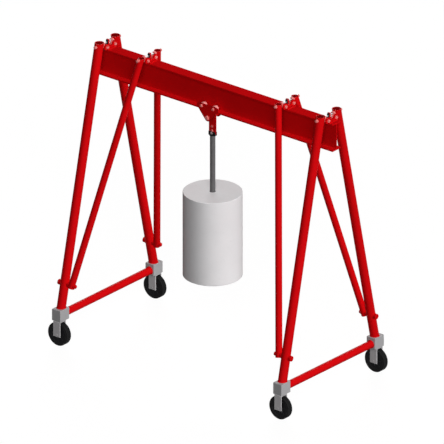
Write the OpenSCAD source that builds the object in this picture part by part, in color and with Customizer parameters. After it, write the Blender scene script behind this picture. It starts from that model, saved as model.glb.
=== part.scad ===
// Portable A-frame gantry crane with a push trolley and a hanging round load.
// Millimetres, +Z up, +X along the beam, origin on the floor under the beam's middle.
// Left is -X, right is +X, front is -Y, rear is +Y.

/* [Beam] */
// Length of the I-beam
beam_len = 2490; // [2450:5:2700]
// Depth of the I-beam
beam_h = 242; // [220:1:260]
// Width of the beam's flanges
beam_w = 106; // [100:1:112]
// Thickness of the flanges
flange_t = 12; // [9:0.5:14]
// Thickness of the web
web_t = 8; // [6:0.5:10]
// Radius at the web's roots
root_r = 8; // [4:1:10]
// Height of the beam's top above the floor
beam_top = 2435; // [2300:5:2600]

/* [End frames] */
// How far the beam runs past each end frame
beam_past = 85; // [70:5:120]
// Outside diameter of the legs
leg_d = 76.1; // [70:0.1:80]
// Wall of the legs
leg_wall = 5; // [3:0.5:7]
// How far the legs' feet stand in from the casters' axes
leg_in = 22; // [10:1:24]
// Half spread of the legs at the beam's top
leg_beam_y = 117.5; // [114:0.5:124]
// How far the legs stand above the beam
leg_over = 68; // [62:1:90]
// Outside diameter of the tie rails
rail_d = 63.5; // [50:0.5:70]
// Wall of the tie rails
rail_wall = 4; // [3:0.5:6]
// Height of the tie rails above the corner blocks' bottom
rail_up = 42; // [38:1:56]

/* [Knee braces] */
// Outside diameter of the braces
brace_d = 57; // [52:0.1:64]
// Wall of the braces
brace_wall = 4; // [3:0.5:6]
// Distance from the end frame to the braces, at the beam's top
brace_reach = 430; // [350:5:500]
// Free gap between leg and brace at the pin
brace_gap = 7.5; // [6:0.5:14]
// How far the braces stand above the beam
brace_over = 55; // [54:1:75]
// How far the braces run on below the pin
brace_under = 23; // [20:1:30]
// Height of the brace pins
pin_z = 520; // [450:5:600]
// Diameter of the brace pins
pin_d = 20; // [16:1:22]
// Diameter of the pin bosses in the legs
boss_d = 46; // [40:1:50]
// How far the bosses stand out of the legs
boss_out = 22; // [15:1:30]

/* [Saddles] */
// Length of a saddle's base plate along the beam
saddle_len = 104; // [96:1:130]
// Thickness of the base plate
saddle_t = 8; // [6:1:10]
// Thickness of the eared plate
ear_t = 14; // [10:1:16]
// How far the eared plate stands past the tubes along the beam
ear_past = 2; // [1:0.5:6]
// Width of the ears
ear_w = 56; // [44:1:58]
// Height of the ears' bolt holes above the beam
ear_z = 20; // [18:1:24]
// Distance of the ears' bolt holes from the middle
ear_y = 50; // [46:1:52]
// Diameter of the ears' bolt holes
ear_bore = 16; // [10:1:18]
// Thickness of the upright lug
lug_t = 14; // [10:1:20]
// Height of the lug above the beam
lug_h = 68; // [64:1:76]
// Reach of the lug's foot from the spindle's axis
lug_foot = 22; // [20:1:36]
// Reach of the lug's top from the spindle's axis
lug_top = 6; // [5:1:16]
// Reach of the lug's upright edge from the spindle's axis
lug_front = 18; // [16:1:24]
// Diameter of the cross spindles
spindle_d = 16; // [12:1:18]
// Height of the cross spindles above the beam
spindle_z = 42; // [38:1:44]
// How far the spindles stand out of the tubes
spindle_out = 18; // [10:1:24]

/* [Corner blocks] */
// Size of the blocks along the beam
block_x = 90; // [82:1:96]
// Size of the blocks across the beam
block_y = 116; // [114:1:124]
// Height of the blocks
block_z = 101; // [90:1:110]
// Chamfer on the blocks' edges
block_chamfer = 3; // [1:0.5:5]
// How far the blocks reach in from the caster's axis
block_in = 13; // [6:1:16]

/* [Casters] */
// Half spread of the casters across the beam
caster_y = 611; // [600:1:625]
// Diameter of the wheels
wheel_d = 203; // [190:1:204]
// Width of the wheels
wheel_w = 50; // [44:1:52]
// Shoulder radius of the tyres
tyre_r = 2.5; // [1.5:0.5:8]
// Depth of the tyres' tread
tread = 24; // [18:1:30]
// Diameter of the hub bosses
hub_d = 60; // [44:1:70]
// Depth of the dished wheel sides
dish = 6; // [3:0.5:9]
// Width of the fork's arms
fork_w = 70; // [60:1:80]
// Thickness of the fork's arms
fork_t = 8; // [6:0.5:10]
// Free gap between the wheel and the arms
fork_gap = 6; // [5.5:0.5:8]
// Thickness of the fork's crown
crown_t = 6; // [5:0.5:14]
// Free gap between the fork's crown and the corner block
swivel_gap = 5; // [5:0.5:10]
// How far the arms reach below the axle
arm_under = 19; // [17:1:26]
// Diameter of the axles
axle_d = 20; // [16:1:24]
// Diameter of the kingpins
kingpin_d = 30; // [24:1:34]
// Height of the kingpins inside the blocks
kingpin_h = 60; // [40:1:70]
// Diameter of the swivel collars
collar_d = 66; // [56:1:72]

/* [Trolley] */
// Place of the trolley along the beam
trolley_x = -55; // [-200:5:200]
// Distance between the two wheels of a side plate
trolley_base = 122; // [110:1:140]
// Diameter of the trolley wheels
roller_d = 46; // [40:1:56]
// Width of the trolley wheels
roller_w = 28; // [22:1:32]
// Diameter of the wheels' stub axles
stub_d = 16; // [12:1:18]
// Thickness of the side plates
plate_t = 8; // [6:1:10]
// Free gap between the flange and the side plates
plate_gap = 7; // [6:0.5:10]
// Radius of the side plates round the cross bolt
plate_r = 31; // [24:1:34]
// Radius of the side plates round the wheels' axles
plate_top_r = 20; // [17:1:24]
// How far the side plates run past the wheels' axles
plate_past = 30; // [0:1:34]
// Distance of the cross bolt below the beam
cross_drop = 57; // [55:1:70]
// Diameter of the cross bolt
cross_d = 24; // [20:1:26]
// How far the cross bolt stands out of the plates
cross_out = 14; // [10:1:20]

/* [Hanger and load] */
// Width of the hanger strap
strap_w = 70; // [56:1:76]
// Thickness of the hanger strap
strap_t = 12; // [10:1:16]
// Length of the strap below the cross bolt
strap_len = 162; // [150:1:190]
// Width of the shackle
shackle_w = 66; // [60:1:84]
// Thickness of the shackle's cheeks
cheek_t = 8; // [6:1:12]
// How far the shackle's cheeks grip the strap
shackle_grip = 20; // [16:1:40]
// Thickness of the shackle's foot
shackle_foot = 12; // [10:1:16]
// Diameter of the round foot that takes the rod
socket_d = 58; // [54:1:64]
// Depth of the rod in the foot
rod_in = 8; // [4:1:9]
// Diameter of the load rod
rod_d = 45; // [34:0.5:48]
// Length of the load rod below the foot
rod_len = 500; // [400:2:560]
// Diameter of the load
load_d = 488; // [400:2:500]
// Height of the load
load_h = 736; // [600:2:800]
// Rounding of the load's edges
load_r = 4; // [2:0.5:8]

/* [Hidden] */
$fn = 48;
seat = 0.3;
run = 0.1;
slack = 1;
crown_low = wheel_d + fork_gap;
block_low = crown_low + crown_t + swivel_gap;
block_top = block_low + block_z;
rail_z = block_low + rail_up;
flange_low = beam_top - beam_h;
frame_x = beam_len / 2 - beam_past;
brace_beam_x = frame_x - brace_reach;
leg_foot_y = caster_y - leg_in;
lean = (leg_foot_y - leg_beam_y) / (beam_top - block_top);
axle_z = wheel_d / 2;
spindle_up = beam_top + spindle_z;
brace_foot_x = frame_x - leg_d / 2 - brace_d / 2 - brace_gap;
arm_in = wheel_w / 2 + fork_gap;
roller_z = flange_low + flange_t + seat + roller_d / 2;
roller_in = beam_w / 2 - slack - roller_w;
plate_in = beam_w / 2 + plate_gap;
cross_z = flange_low - cross_drop;
strap_low = cross_z - strap_len;
shackle_low = strap_low - seat - shackle_foot;
load_top = shackle_low - rod_len;

function leg_y(z) = leg_foot_y - lean * (z - block_top);
function brace_x(z) = brace_foot_x
    + (brace_beam_x - brace_foot_x) * (z - pin_z) / (beam_top - pin_z);

// Square-ended rod from one point on its axis to another, run on below the first one
// Its seam is turned to the side, where a level cut meets it cleanly
module raked_rod(foot, head, d, under) {
    v = head - foot;
    span = norm(v);
    translate(foot) rotate([0, acos(v[2] / span), atan2(v[1], v[0])]) translate([0, 0, -under])
        rotate(90) cylinder(d = d, h = span + under);
}

// The same as a tube
module raked_tube(foot, head, d, wall, under) {
    v = (head - foot) / norm(head - foot);
    difference() {
        raked_rod(foot, head, d, under);
        raked_rod(foot, head + slack * v, d - 2 * wall, under + slack);
    }
}

module along_y(d, length) {
    rotate([90, 0, 0]) cylinder(d = d, h = length, center = true);
}

module along_x(d, length) {
    rotate([0, 90, 0]) cylinder(d = d, h = length, center = true);
}

module beam() {
    color([0.72, 0.03, 0.05]) translate([-beam_len / 2, 0, flange_low])
        rotate([90, 0, 90]) linear_extrude(beam_len)
            offset(r = -root_r) offset(r = root_r) union() {
                translate([-beam_w / 2, 0]) square([beam_w, flange_t]);
                translate([-beam_w / 2, beam_h - flange_t]) square([beam_w, flange_t]);
                translate([-web_t / 2, 0]) square([web_t, beam_h]);
            }
}

// Leg tube with level ends, a welded boss coped to the brace, and a pin for the brace's foot
module leg(sx, sy) {
    boss_in = leg_d / 2 + brace_gap + brace_d / 4;
    boss_len = leg_d / 2 + boss_out + boss_in;
    pin_len = leg_d / 2 + brace_gap + brace_d + boss_out / 2;
    at_pin = [sx * frame_x, sy * leg_y(pin_z), pin_z];
    top_z = beam_top + leg_over;
    color([0.78, 0.03, 0.05]) difference() {
        union() {
            difference() {
                raked_tube([sx * frame_x, sy * leg_foot_y, block_top],
                    [sx * frame_x, sy * leg_y(top_z + leg_d), top_z + leg_d], leg_d, leg_wall, leg_d);
                for (end = [[leg_foot_y, block_top - 2 * leg_d], [leg_y(top_z), top_z + 2 * leg_d]])
                    translate([sx * frame_x, sy * end[0], end[1]])
                        cube([2 * leg_d, 4 * leg_d, 4 * leg_d], center = true);
            }
            difference() {
                translate(at_pin + [sx * (leg_d / 2 + boss_out - boss_len / 2), 0, 0])
                    along_x(boss_d, boss_len);
                raked_rod([sx * brace_x(pin_z), sy * leg_y(pin_z), pin_z],
                    [sx * brace_x(beam_top), sy * leg_y(beam_top), beam_top],
                    brace_d + 2 * seat, brace_d);
            }
            translate(at_pin - [sx * pin_len / 2, 0, 0]) along_x(pin_d, pin_len);
        }
        translate([sx * frame_x, sy * leg_y(spindle_up), spindle_up])
            along_y(spindle_d + 2 * seat, 2 * leg_d);
    }
}

// Knee brace with a level top, drilled for the leg's pin and the saddle's spindle
module brace(sx, sy) {
    top_z = beam_top + brace_over;
    run_z = top_z + brace_d;
    color([0.78, 0.03, 0.05]) difference() {
        raked_tube([sx * brace_x(pin_z), sy * leg_y(pin_z), pin_z],
            [sx * brace_x(run_z), sy * leg_y(run_z), run_z], brace_d, brace_wall, brace_under);
        translate([sx * brace_x(top_z), sy * leg_y(top_z), top_z + 2 * brace_d])
            cube([4 * brace_d, 4 * brace_d, 4 * brace_d], center = true);
        translate([sx * brace_x(pin_z), sy * leg_y(pin_z), pin_z])
            along_x(pin_d + 2 * seat, 2 * brace_d);
        translate([sx * brace_x(spindle_up), sy * leg_y(spindle_up), spindle_up])
            along_y(spindle_d + 2 * seat, 2 * brace_d);
    }
}

// Tie rail between the two corner blocks of an end frame
module rail(sx) {
    rail_len = 2 * (caster_y - block_in - block_y / 2);
    color([0.78, 0.03, 0.05]) translate([sx * frame_x, 0, rail_z]) difference() {
        along_y(rail_d, rail_len);
        along_y(rail_d - 2 * rail_wall, rail_len + slack);
    }
}

module corner_block(sx, sy) {
    c = block_chamfer;
    color([0.5, 0.5, 0.51]) difference() {
        translate([sx * frame_x, sy * (caster_y - block_in), block_low]) hull() {
            translate([0, 0, block_z / 2])
                cube([block_x, block_y - 2 * c, block_z - 2 * c], center = true);
            translate([0, 0, block_z / 2])
                cube([block_x - 2 * c, block_y, block_z - 2 * c], center = true);
            translate([0, 0, block_z / 2])
                cube([block_x - 2 * c, block_y - 2 * c, block_z], center = true);
        }
        translate([sx * frame_x, sy * caster_y, block_low - slack])
            cylinder(d = kingpin_d + 2 * run, h = kingpin_h + 2 * slack);
    }
}

// Base plate with an upright eared plate, and a lug on it for the cross spindle
module saddle(x, tube_d) {
    ear_out = tube_d / 2 + ear_past;
    ear_in = ear_out - ear_t;
    color([0.72, 0.03, 0.05]) translate([x, 0, beam_top]) difference() {
        union() {
            translate([0, 0, saddle_t / 2])
                cube([saddle_len, beam_w, saddle_t], center = true);
            translate([ear_in, 0, 0]) rotate([90, 0, 90]) linear_extrude(ear_t) {
                for (sy = [-1, 1]) translate([sy * ear_y, ear_z]) circle(d = ear_w);
                translate([-ear_y, 0]) square([2 * ear_y, ear_z]);
            }
            rotate([90, 0, 0]) linear_extrude(lug_t, center = true)
                polygon([[-lug_foot, saddle_t / 2], [lug_front, saddle_t / 2],
                    [lug_front, lug_h], [-lug_top, lug_h]]);
        }
        for (sy = [-1, 1])
            translate([ear_out, sy * ear_y, ear_z]) along_x(ear_bore, 4 * ear_t);
        translate([0, 0, spindle_z]) along_y(spindle_d + 2 * seat, 2 * beam_w);
        translate([0, 0, -ear_w]) cube([2 * saddle_len, 4 * beam_w, 2 * ear_w], center = true);
    }
}

// Steel bar through the two tubes and the saddle's lug
module spindle(x, tube_d) {
    color([0.78, 0.78, 0.8]) translate([x, 0, spindle_up])
        along_y(spindle_d, 2 * (leg_y(spindle_up) + tube_d / 2 + spindle_out));
}

// Swivel fork: crown, two arms, collar and kingpin
module fork(sx, sy) {
    arm_low = axle_z - arm_under;
    color([0.53, 0.52, 0.53]) translate([sx * frame_x, sy * caster_y, 0]) difference() {
        union() {
            translate([-fork_w / 2, -arm_in - fork_t, crown_low])
                cube([fork_w, 2 * (arm_in + fork_t), crown_t]);
            for (s = [-1, 1])
                translate([-fork_w / 2, s * (arm_in + fork_t / 2) - fork_t / 2, arm_low])
                    cube([fork_w, fork_t, crown_low + crown_t - arm_low]);
            translate([0, 0, crown_low])
                cylinder(d = collar_d, h = block_low - seat - crown_low);
            translate([0, 0, crown_low]) cylinder(d = kingpin_d, h = block_low + kingpin_h - crown_low);
        }
        translate([0, 0, axle_z]) along_y(axle_d + 2 * seat, 4 * arm_in);
    }
}

module axle(sx, sy) {
    color([0.7, 0.7, 0.72]) translate([sx * frame_x, sy * caster_y, axle_z])
        along_y(axle_d, 2 * (arm_in + fork_t + slack));
}

// Caster wheel with eased edges and dished sides
module wheel(sx, sy) {
    r = wheel_d / 2;
    w = wheel_w / 2;
    rim = r - tread;
    color([0.08, 0.08, 0.085]) translate([sx * frame_x, sy * caster_y, axle_z])
        rotate([90, 0, 0]) rotate_extrude($fn = 96) difference() {
            union() {
                translate([axle_d / 2 + run, -w]) square([r - tyre_r - axle_d / 2 - run, wheel_w]);
                translate([r - 2 * tyre_r, -w + tyre_r]) square([2 * tyre_r, wheel_w - 2 * tyre_r]);
                for (s = [-1, 1]) translate([r - tyre_r, s * (w - tyre_r)]) circle(tyre_r);
            }
            for (s = [-1, 1]) translate([(hub_d / 2 + rim) / 2, s * w])
                square([rim - hub_d / 2, 2 * dish], center = true);
        }
}

// Three-cornered side plate with two stub axles for its wheels
module trolley_plate(sy) {
    color([0.72, 0.03, 0.05]) translate([trolley_x, sy * (plate_in + plate_t / 2), 0]) {
        difference() {
            rotate([90, 0, 0]) linear_extrude(plate_t, center = true) hull() {
                for (s = [-1, 1]) translate([s * (trolley_base / 2 + plate_past), roller_z])
                    circle(plate_top_r);
                translate([0, cross_z]) circle(plate_r);
            }
            translate([0, 0, cross_z]) along_y(cross_d + 2 * seat, 2 * plate_t);
        }
        for (s = [-1, 1]) translate([s * trolley_base / 2,
                -sy * (plate_in - roller_in) / 2, roller_z])
            along_y(stub_d, plate_in - roller_in);
    }
}

module roller(sx, sy) {
    color([0.55, 0.55, 0.57])
        translate([trolley_x + sx * trolley_base / 2, sy * (roller_in + roller_w / 2), roller_z])
            difference() {
                along_y(roller_d, roller_w);
                along_y(stub_d + 2 * run, roller_w + slack);
            }
}

module cross_bolt() {
    color([0.75, 0.75, 0.77]) translate([trolley_x, 0, cross_z])
        along_y(cross_d, 2 * (plate_in + plate_t + cross_out));
}

// Flat strap that swings on the cross bolt
module hanger_strap() {
    color([0.62, 0.03, 0.05]) translate([trolley_x, 0, 0]) difference() {
        union() {
            translate([0, 0, cross_z]) along_y(strap_w, strap_t);
            translate([-strap_w / 2, -strap_t / 2, strap_low]) cube([strap_w, strap_t, strap_len]);
        }
        translate([0, 0, cross_z]) along_y(cross_d + 2 * run, 2 * strap_t);
    }
}

// Clevis round the strap's lower end, with a foot that takes the rod
module shackle() {
    cheek_in = strap_t / 2 + seat;
    color([0.05, 0.05, 0.055]) translate([trolley_x, 0, shackle_low]) difference() {
        union() {
            cylinder(d = socket_d, h = shackle_foot);
            translate([-shackle_w / 2, -cheek_in - cheek_t, 0])
                cube([shackle_w, 2 * (cheek_in + cheek_t), shackle_foot]);
            for (s = [-1, 1])
                translate([-shackle_w / 2, s * (cheek_in + cheek_t / 2) - cheek_t / 2, 0])
                    cube([shackle_w, cheek_t, shackle_foot + seat + shackle_grip]);
        }
        translate([0, 0, -slack]) cylinder(d = rod_d + 2 * seat, h = rod_in + slack);
    }
}

module load_rod() {
    color([0.42, 0.42, 0.43]) translate([trolley_x, 0, load_top])
        cylinder(d = rod_d, h = rod_len + rod_in);
}

module load() {
    color([0.8, 0.79, 0.8]) translate([trolley_x, 0, load_top - load_h])
        rotate_extrude($fn = 96) union() {
            square([load_d / 2 - load_r, load_h]);
            translate([0, load_r]) square([load_d / 2, load_h - 2 * load_r]);
            for (z = [load_r, load_h - load_r]) translate([load_d / 2 - load_r, z]) circle(load_r);
        }
}

beam();
leg(-1, -1);  // leg_left_front
leg(-1, 1);  // leg_left_rear
leg(1, -1);  // leg_right_front
leg(1, 1);  // leg_right_rear
brace(-1, -1);  // brace_left_front
brace(-1, 1);  // brace_left_rear
brace(1, -1);  // brace_right_front
brace(1, 1);  // brace_right_rear
rail(-1);  // rail_left
rail(1);  // rail_right
corner_block(-1, -1);  // corner_block_left_front
corner_block(-1, 1);  // corner_block_left_rear
corner_block(1, -1);  // corner_block_right_front
corner_block(1, 1);  // corner_block_right_rear
saddle(-frame_x, leg_d);  // saddle_left_leg
saddle(-brace_x(spindle_up), brace_d);  // saddle_left_brace
saddle(brace_x(spindle_up), brace_d);  // saddle_right_brace
saddle(frame_x, leg_d);  // saddle_right_leg
spindle(-frame_x, leg_d);  // spindle_left_leg
spindle(-brace_x(spindle_up), brace_d);  // spindle_left_brace
spindle(brace_x(spindle_up), brace_d);  // spindle_right_brace
spindle(frame_x, leg_d);  // spindle_right_leg
fork(-1, -1);  // fork_left_front
fork(-1, 1);  // fork_left_rear
fork(1, -1);  // fork_right_front
fork(1, 1);  // fork_right_rear
axle(-1, -1);  // axle_left_front
axle(-1, 1);  // axle_left_rear
axle(1, -1);  // axle_right_front
axle(1, 1);  // axle_right_rear
wheel(-1, -1);  // wheel_left_front
wheel(-1, 1);  // wheel_left_rear
wheel(1, -1);  // wheel_right_front
wheel(1, 1);  // wheel_right_rear
trolley_plate(-1);  // trolley_plate_front
trolley_plate(1);  // trolley_plate_rear
roller(-1, -1);  // roller_left_front
roller(-1, 1);  // roller_left_rear
roller(1, -1);  // roller_right_front
roller(1, 1);  // roller_right_rear
cross_bolt();
hanger_strap();
shackle();
load_rod();
load();
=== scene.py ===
import math

import bmesh
import bpy
from bpy.props import FloatProperty, FloatVectorProperty, IntProperty, PointerProperty
from mathutils import Matrix, Vector


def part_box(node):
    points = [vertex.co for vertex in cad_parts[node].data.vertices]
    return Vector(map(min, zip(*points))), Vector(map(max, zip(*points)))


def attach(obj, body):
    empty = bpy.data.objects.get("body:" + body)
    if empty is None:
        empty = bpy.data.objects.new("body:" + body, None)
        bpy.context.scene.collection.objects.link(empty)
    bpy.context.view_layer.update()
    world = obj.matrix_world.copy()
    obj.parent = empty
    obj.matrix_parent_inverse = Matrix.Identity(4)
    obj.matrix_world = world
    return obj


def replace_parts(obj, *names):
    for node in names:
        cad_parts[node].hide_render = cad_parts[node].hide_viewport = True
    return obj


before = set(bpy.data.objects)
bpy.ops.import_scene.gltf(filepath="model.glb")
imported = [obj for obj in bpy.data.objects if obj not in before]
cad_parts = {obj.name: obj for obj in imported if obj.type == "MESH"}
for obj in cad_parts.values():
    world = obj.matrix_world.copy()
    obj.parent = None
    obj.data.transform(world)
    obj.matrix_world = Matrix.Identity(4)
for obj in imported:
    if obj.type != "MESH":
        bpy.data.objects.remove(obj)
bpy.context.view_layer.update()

bl_info = {
    "name": "Gantry Crane Dressing",
    "version": (1, 0, 0),
    "blender": (4, 5, 0),
    "location": "3D View > Sidebar > Gantry Crane",
    "description": "Adds fasteners, welds, wheels, finishes and a stage to the gantry crane frame",
    "category": "Object",
}

CORNERS = (("left_front", -1, -1), ("left_rear", -1, 1), ("right_front", 1, -1), ("right_rear", 1, 1))
CORNER_NAMES = tuple(corner[0] for corner in CORNERS)
STATIONS = ("left_leg", "left_brace", "right_brace", "right_leg")

# Places on the frame, in metres
EAR_SPREAD = 0.05  # ear bolts, from the beam's middle plane
EAR_RISE = 0.02  # ear bolts, above the beam's top
EAR_PAST = 0.002  # outer face of an eared plate, past the side of its tube
LUG_FACE = 0.0071  # face of a saddle's lug, from the beam's middle plane
LUG_EYE = 0.042  # middle of a lug's eye, above the beam's top
# Corners of a lug's dark plate, across and up; the plate is painted shade on the lug's face
LUG_PLATE = ((-0.0185, 0.013), (0.0165, 0.013), (0.0165, 0.0665), (-0.005, 0.0665))
LUG_PLATE_THICK = 0.0025
LUG_WELD = (-0.020, 0.016, 0.007, 0.008)  # left end, right end, side and rise of a lug's bead
SADDLE_WELD_INSET = 0.03  # ends of a saddle's bead, from the saddle's ends
LEG_WALL = 0.005  # thickness of the legs' tubes
BRACE_WALL = 0.004  # thickness of the braces' tubes
PLUG_SUNK = 0.0015  # rim of a tube's plug, below the tube's top
PIN_NUT = 0.030  # width across flats of the brace pin nuts
PIN_RADIUS = 0.010  # brace pins
BORE_PLAY = 0.0002  # between a bolt and the bore of what sits on it
SIDE_GROOVE = 0.0105  # outer tread grooves, from the tyre's middle
SWIVEL_GAP = 0.005  # between a corner block and the fork under it
RACE_BORE = 0.0325  # inner radius of the swivel races
CAP_BORE = 0.0335  # inner radius of the swivel caps
ARM_INSIDE = 0.0082  # end of an axle sleeve, from the outer face of the fork arm
CROSS_NUT = (0.0025, 0.0122)  # faces of a cross bolt nut, from its trolley plate
SPACER_END = 0.0085  # outer end of a cross bolt spacer, from the outer face of its trolley plate
STRAP_BOLTS = (2.041, 2.003)  # heights of the strap bolts
CLEVIS_CHEEK = 0.0143  # outer face of a clevis cheek, from the beam's middle plane
CLEVIS_BOLT = 0.0105  # clevis bolt, below the clevis's top

# Stage
SIDE_WAY = (0.842, 0.030, 0.539)  # towards the side lamp
REAR_WAY = (-0.61, 0.75, 0.26)  # towards the rear lamp
FLOOR_BOUNCE = (0.10, 0.10, 0.10, 1)  # floor that lights the crane
FLOOR_TONE = (0.16, 0.16, 0.16, 1)  # floor that is seen, with its glow
FLOOR_GLOW = 0.89
CAMERA_AWAY = 8


def middle(node):
    """Middle of a CAD node's box."""
    low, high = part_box(node)
    return (low + high) / 2


def half(node):
    """Half size of a CAD node's box."""
    low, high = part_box(node)
    return (high - low) / 2


BEAM_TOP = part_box("beam")[1].z
BLOCK_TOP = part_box("corner_block_left_front")[1].z
FRAME_X = middle("corner_block_right_front").x


class CraneFrameSizes(bpy.types.PropertyGroup):
    """Sizes of the tubes that the fasteners and welds sit on."""

    leg_diameter: FloatProperty(
        name="Leg diameter", description="Outside diameter of the legs",
        default=0.0761, unit="LENGTH")
    brace_diameter: FloatProperty(
        name="Brace diameter", description="Outside diameter of the knee braces",
        default=0.057, unit="LENGTH")
    leg_foot: FloatProperty(
        name="Leg foot", description="Half spread of the legs on the corner blocks",
        default=0.589, unit="LENGTH")
    leg_head: FloatProperty(
        name="Leg head", description="Half spread of the legs at the beam's top",
        default=0.1175, unit="LENGTH")
    pin_height: FloatProperty(
        name="Pin height", description="Height of the brace pins", default=0.52, unit="LENGTH")
    brace_foot: FloatProperty(
        name="Brace foot", description="Distance of a brace from the beam's middle at its pin",
        default=1.08595, unit="LENGTH")
    brace_head: FloatProperty(
        name="Brace head", description="Distance of a brace from the beam's middle at the beam's top",
        default=0.73, unit="LENGTH")
    boss_diameter: FloatProperty(
        name="Boss diameter", description="Diameter of the pin bosses on the legs",
        default=0.046, unit="LENGTH")
    rail_diameter: FloatProperty(
        name="Rail diameter", description="Outside diameter of the tie rails",
        default=0.0635, unit="LENGTH")
    bead: FloatProperty(
        name="Weld bead", description="Radius of the weld beads", default=0.0042, unit="LENGTH")


class CraneFastenerSizes(bpy.types.PropertyGroup):
    """Sizes of bolts, nuts and washers."""

    ear_bolt: FloatProperty(
        name="Ear bolt", description="Diameter of the bolts through the saddle ears",
        default=0.0156, unit="LENGTH")
    ear_flats: FloatProperty(
        name="Ear bolt head", description="Width across flats of the ear bolts",
        default=0.023, unit="LENGTH")
    ear_plate: FloatProperty(
        name="Eared plate", description="Thickness of the saddles' eared plates",
        default=0.014, unit="LENGTH")
    ear_sleeve: FloatProperty(
        name="Ear sleeve", description="Length of the sleeves behind the eared plates",
        default=0.016, unit="LENGTH")
    spindle_flats: FloatProperty(
        name="Spindle nut", description="Width across flats of the outer spindle nuts",
        default=0.0225, unit="LENGTH")
    spindle_washer: FloatProperty(
        name="Spindle washer", description="Diameter of the outer, curved spindle washers",
        default=0.026, unit="LENGTH")
    inner_flats: FloatProperty(
        name="Inner spindle nut", description="Width across flats of the nuts on the tubes' inner sides",
        default=0.031, unit="LENGTH")
    plate_flats: FloatProperty(
        name="Plate bolt head", description="Width across flats of the trolley plate bolts",
        default=0.021, unit="LENGTH")
    cross_flats: FloatProperty(
        name="Cross bolt nut", description="Width across flats of the cross bolt nuts",
        default=0.034, unit="LENGTH")
    strap_flats: FloatProperty(
        name="Strap bolt head", description="Width across flats of the strap bolts",
        default=0.017, unit="LENGTH")
    pitch: FloatProperty(
        name="Thread pitch", description="Distance from one thread to the next",
        default=0.0025, unit="LENGTH")


class CraneWheelSizes(bpy.types.PropertyGroup):
    """Sizes of the caster wheels and swivels."""

    rim_radius: FloatProperty(
        name="Rim radius", description="Radius at which the tyre meets the wheel core",
        default=0.0775, unit="LENGTH")
    shoulder: FloatProperty(
        name="Shoulder", description="Radius of the tyre's shoulders",
        default=0.0025, unit="LENGTH")
    groove_width: FloatProperty(
        name="Groove width", description="Width of the grooves round the tread",
        default=0.0036, unit="LENGTH")
    groove_depth: FloatProperty(
        name="Groove depth", description="Depth of the grooves round the tread",
        default=0.0026, unit="LENGTH")
    hub_radius: FloatProperty(
        name="Hub radius", description="Radius of the hub boss", default=0.03, unit="LENGTH")
    dish: FloatProperty(
        name="Dish", description="Depth of the dished wheel sides", default=0.006, unit="LENGTH")
    ribs: IntProperty(
        name="Ribs", description="Number of ribs on each wheel side", default=8, min=3, max=24)
    race_radius: FloatProperty(
        name="Race radius", description="Outer radius of the swivel races",
        default=0.0355, unit="LENGTH")


class CraneFinishes(bpy.types.PropertyGroup):
    """Colours of the finishes."""

    red: FloatVectorProperty(
        name="Red enamel", description="Colour of the tubes and the beam", subtype="COLOR",
        size=3, min=0, max=1, default=(0.62, 0.0030, 0.0048))
    block: FloatVectorProperty(
        name="Block grey", description="Colour of the corner blocks", subtype="COLOR",
        size=3, min=0, max=1, default=(0.39, 0.385, 0.392))
    fork: FloatVectorProperty(
        name="Fork grey", description="Colour of the caster forks", subtype="COLOR",
        size=3, min=0, max=1, default=(0.53, 0.515, 0.525))
    steel: FloatVectorProperty(
        name="Bare steel", description="Colour of the bolts where their paint is rubbed off",
        subtype="COLOR", size=3, min=0, max=1, default=(1.0, 0.39, 0.37))
    roller: FloatVectorProperty(
        name="Roller steel", description="Colour of the trolley wheels", subtype="COLOR",
        size=3, min=0, max=1, default=(1.0, 0.36, 0.35))
    grey_bolt: FloatVectorProperty(
        name="Grey bolt", description="Colour of the clevis bolt", subtype="COLOR",
        size=3, min=0, max=1, default=(0.30, 0.24, 0.24))
    bright: FloatVectorProperty(
        name="Bright steel", description="Colour of the ground spindles", subtype="COLOR",
        size=3, min=0, max=1, default=(0.58, 0.57, 0.58))
    rod: FloatVectorProperty(
        name="Rod steel", description="Colour of the load rod", subtype="COLOR",
        size=3, min=0, max=1, default=(0.13, 0.128, 0.130))
    tyre: FloatVectorProperty(
        name="Tyre", description="Colour of the rubber tyres", subtype="COLOR",
        size=3, min=0, max=1, default=(0.0085, 0.0085, 0.009))
    black: FloatVectorProperty(
        name="Black enamel", description="Colour of the clevis", subtype="COLOR",
        size=3, min=0, max=1, default=(0.010, 0.010, 0.011))
    load: FloatVectorProperty(
        name="Load", description="Colour of the test load", subtype="COLOR",
        size=3, min=0, max=1, default=(0.79, 0.78, 0.79))


class CraneStage(bpy.types.PropertyGroup):
    """Camera, lamps and floor."""

    azimuth: FloatProperty(
        name="Azimuth", description="Camera angle round the crane",
        default=math.radians(39.344), subtype="ANGLE")
    elevation: FloatProperty(
        name="Elevation", description="Camera angle above the floor",
        default=math.radians(23.944), subtype="ANGLE")
    width: FloatProperty(
        name="View width", description="Width of the camera's view", default=3.601, unit="LENGTH")
    shift_right: FloatProperty(
        name="Aim right", description="Aim point to the right of the middle",
        default=0.0332, unit="LENGTH")
    shift_up: FloatProperty(
        name="Aim up", description="Aim point above the middle", default=-0.0874, unit="LENGTH")
    aim_height: FloatProperty(
        name="Aim height", description="Height of the aim point", default=1.3, unit="LENGTH")
    front: FloatProperty(name="Front lamp", description="Strength of the lamp by the camera", default=1.15)
    side: FloatProperty(name="Side lamp", description="Strength of the lamp at the right", default=2.45)
    rear: FloatProperty(name="Rear lamp", description="Strength of the lamp behind the crane", default=1.30)
    lamp_angle: FloatProperty(
        name="Lamp size", description="Angle that each lamp spreads over",
        default=math.radians(34), subtype="ANGLE")
    fill: FloatProperty(name="Fill", description="Strength of the light from all round", default=0.025)
    floor_size: FloatProperty(
        name="Floor size", description="Half width of the floor", default=40.0, unit="LENGTH")


def sizes(group):
    """One of the crane's property groups in the open scene."""
    return getattr(bpy.context.scene, "crane_" + group)


# Mesh building blocks. Each one adds a closed form to bm, with its local Z turned along an axis.

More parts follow.
